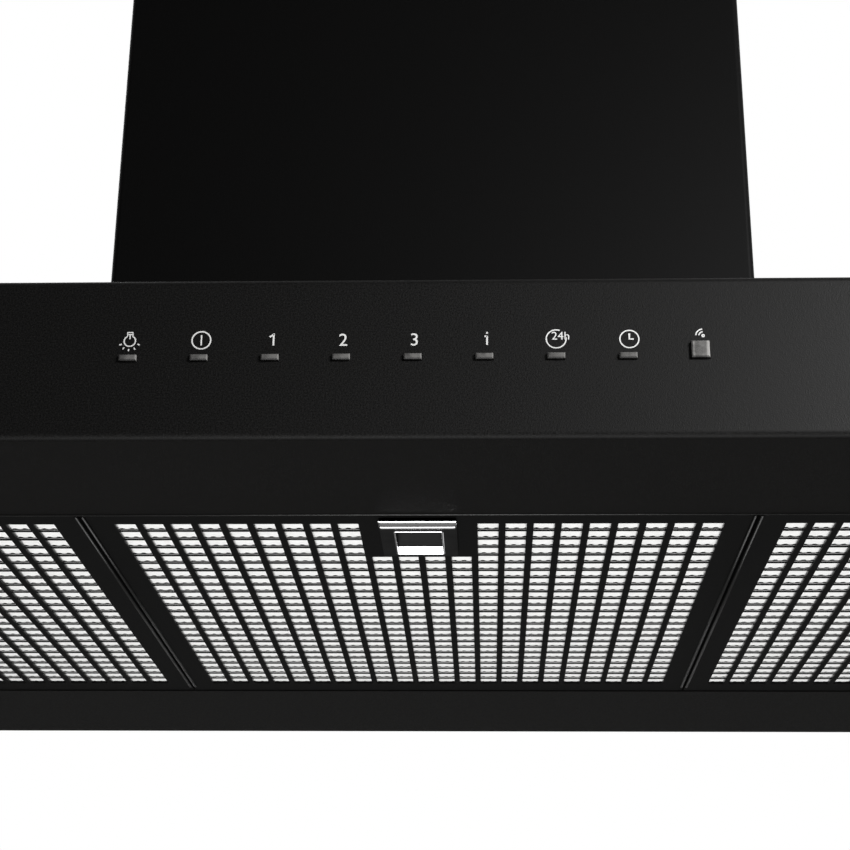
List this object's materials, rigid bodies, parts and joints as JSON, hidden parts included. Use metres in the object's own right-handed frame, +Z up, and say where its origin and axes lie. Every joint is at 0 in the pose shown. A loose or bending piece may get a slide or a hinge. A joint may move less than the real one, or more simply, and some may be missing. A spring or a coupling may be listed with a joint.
{
  "type": "chimney range hood",
  "caption": "Black wall-mounted chimney hood with push keys, three removable grease filters, spot lamps and a telescoping chimney.",
  "frame": {"origin": "centre of the four wall bolts, on the wall's face", "axes": "+Z up, +Y into the wall, +X to the right seen from the front"},
  "size_m": [0.898, 0.5017, 0.7043],
  "materials": {
    "black_paint": "fine-textured matt black powder coat",
    "filter_paint": "satin black paint",
    "bright_mesh": "bright expanded aluminium mesh",
    "chrome": "polished chrome plating",
    "spring_steel": "plain spring wire",
    "zinc": "galvanised sheet",
    "satin_steel": "satin steel rim",
    "screw_steel": "blackened screw",
    "motor_steel": "plain motor housing",
    "lamp_aluminium": "cast lamp body",
    "frosted_glass": "frosted lens",
    "clear_plastic": "clear moulded plastic",
    "black_plastic": "moulded black plastic",
    "grey_plastic": "moulded grey plastic",
    "fan_plastic": "moulded dark grey plastic",
    "white_plastic": "plain capacitor can",
    "board": "green circuit board",
    "switch": "small switch body"
  },
  "bodies": {
    "hood": {"front_panel": "black_paint", "side_panels": "black_paint", "rear_panel": "black_paint", "canopy_top": "black_paint", "lower_chimney": "black_paint", "wall_frame": "zinc", "suction_box": "zinc", "box_top": "zinc", "control_housing": "black_plastic", "control_board": "board", "receiver_window": "clear_plastic", "scroll_left": "grey_plastic", "scroll_right": "grey_plastic", "scroll_wall": "grey_plastic", "motor": "motor_steel", "outlet_collar": "black_plastic", "electronics_box": "grey_plastic", "electronics_lid": "grey_plastic", "cable_gland": "black_plastic", "motor_capacitor": "white_plastic", "chimney_screws": "screw_steel", "lamp_bezels": "satin_steel", "lamp_lenses": "frosted_glass", "lamp_bodies": "lamp_aluminium", "key_switches": "switch"},
    "key_light": {"key_light": "clear_plastic"},
    "key_power": {"key_power": "clear_plastic"},
    "key_speed_1": {"key_speed_1": "clear_plastic"},
    "key_speed_2": {"key_speed_2": "clear_plastic"},
    "key_speed_3": {"key_speed_3": "clear_plastic"},
    "key_boost": {"key_boost": "clear_plastic"},
    "key_day": {"key_day": "clear_plastic"},
    "key_timer": {"key_timer": "clear_plastic"},
    "filter_left": {"filter_left_frame": "filter_paint", "filter_left_cross_bars": "filter_paint", "filter_left_mesh": "bright_mesh", "filter_left_back_plate": "filter_paint", "filter_left_latch_spring": "spring_steel"},
    "latch_left": {"filter_left_latch": "black_plastic", "filter_left_latch_trim": "chrome"},
    "filter_middle": {"filter_middle_frame": "filter_paint", "filter_middle_cross_bars": "filter_paint", "filter_middle_mesh": "bright_mesh", "filter_middle_back_plate": "filter_paint", "filter_middle_latch_spring": "spring_steel"},
    "latch_middle": {"filter_middle_latch": "black_plastic", "filter_middle_latch_trim": "chrome"},
    "filter_right": {"filter_right_frame": "filter_paint", "filter_right_cross_bars": "filter_paint", "filter_right_mesh": "bright_mesh", "filter_right_back_plate": "filter_paint", "filter_right_latch_spring": "spring_steel"},
    "latch_right": {"filter_right_latch": "black_plastic", "filter_right_latch_trim": "chrome"},
    "impeller": {"impeller_drum": "fan_plastic", "motor_shaft": "spring_steel"},
    "flap_left": {"flap_left": "grey_plastic"},
    "flap_right": {"flap_right": "grey_plastic"},
    "upper_chimney": {"upper_chimney": "black_paint", "ceiling_bracket": "zinc"}
  },
  "joints": [
    {"name": "key_light_press", "type": "slide", "parent": "hood", "child": "key_light", "axis": [0, 1, 0], "range_m": [0, 0.001], "stiffness_N_per_m": 800, "springref_m": -0.0008},
    {"name": "key_power_press", "type": "slide", "parent": "hood", "child": "key_power", "axis": [0, 1, 0], "range_m": [0, 0.001], "stiffness_N_per_m": 800, "springref_m": -0.0008},
    {"name": "key_speed_1_press", "type": "slide", "parent": "hood", "child": "key_speed_1", "axis": [0, 1, 0], "range_m": [0, 0.001], "stiffness_N_per_m": 800, "springref_m": -0.0008},
    {"name": "key_speed_2_press", "type": "slide", "parent": "hood", "child": "key_speed_2", "axis": [0, 1, 0], "range_m": [0, 0.001], "stiffness_N_per_m": 800, "springref_m": -0.0008},
    {"name": "key_speed_3_press", "type": "slide", "parent": "hood", "child": "key_speed_3", "axis": [0, 1, 0], "range_m": [0, 0.001], "stiffness_N_per_m": 800, "springref_m": -0.0008},
    {"name": "key_boost_press", "type": "slide", "parent": "hood", "child": "key_boost", "axis": [0, 1, 0], "range_m": [0, 0.001], "stiffness_N_per_m": 800, "springref_m": -0.0008},
    {"name": "key_day_press", "type": "slide", "parent": "hood", "child": "key_day", "axis": [0, 1, 0], "range_m": [0, 0.001], "stiffness_N_per_m": 800, "springref_m": -0.0008},
    {"name": "key_timer_press", "type": "slide", "parent": "hood", "child": "key_timer", "axis": [0, 1, 0], "range_m": [0, 0.001], "stiffness_N_per_m": 800, "springref_m": -0.0008},
    {"name": "filter_left_swing", "type": "hinge", "parent": "hood", "child": "filter_left", "pos_m": [-0.268, -0.1085, -0.3865], "axis": [1, 0, 0], "range_deg": [0, 60]},
    {"name": "filter_middle_swing", "type": "hinge", "parent": "hood", "child": "filter_middle", "pos_m": [0, -0.1085, -0.3865], "axis": [1, 0, 0], "range_deg": [0, 60]},
    {"name": "filter_right_swing", "type": "hinge", "parent": "hood", "child": "filter_right", "pos_m": [0.268, -0.1085, -0.3865], "axis": [1, 0, 0], "range_deg": [0, 60]},
    {"name": "latch_left_slide", "type": "slide", "parent": "filter_left", "child": "latch_left", "axis": [0, 1, 0], "range_m": [0, 0.0025], "stiffness_N_per_m": 600, "springref_m": -0.004, "deforming": ["filter_left_latch_spring"]},
    {"name": "latch_middle_slide", "type": "slide", "parent": "filter_middle", "child": "latch_middle", "axis": [0, 1, 0], "range_m": [0, 0.0025], "stiffness_N_per_m": 600, "springref_m": -0.004, "deforming": ["filter_middle_latch_spring"]},
    {"name": "latch_right_slide", "type": "slide", "parent": "filter_right", "child": "latch_right", "axis": [0, 1, 0], "range_m": [0, 0.0025], "stiffness_N_per_m": 600, "springref_m": -0.004, "deforming": ["filter_right_latch_spring"]},
    {"name": "impeller_spin", "type": "hinge", "parent": "hood", "child": "impeller", "pos_m": [0, -0.088, -0.231], "axis": [1, 0, 0], "continuous": true},
    {"name": "flap_left_swing", "type": "hinge", "parent": "hood", "child": "flap_left", "pos_m": [0, -0.133, -0.0662], "axis": [0, 1, 0], "range_deg": [0, 75]},
    {"name": "flap_right_swing", "type": "hinge", "parent": "hood", "child": "flap_right", "pos_m": [0, -0.133, -0.0662], "axis": [0, -1, 0], "range_deg": [0, 75]},
    {"name": "chimney_slide", "type": "slide", "parent": "hood", "child": "upper_chimney", "axis": [0, 0, 1], "range_m": [-0.19, 0.17]}
  ]
}
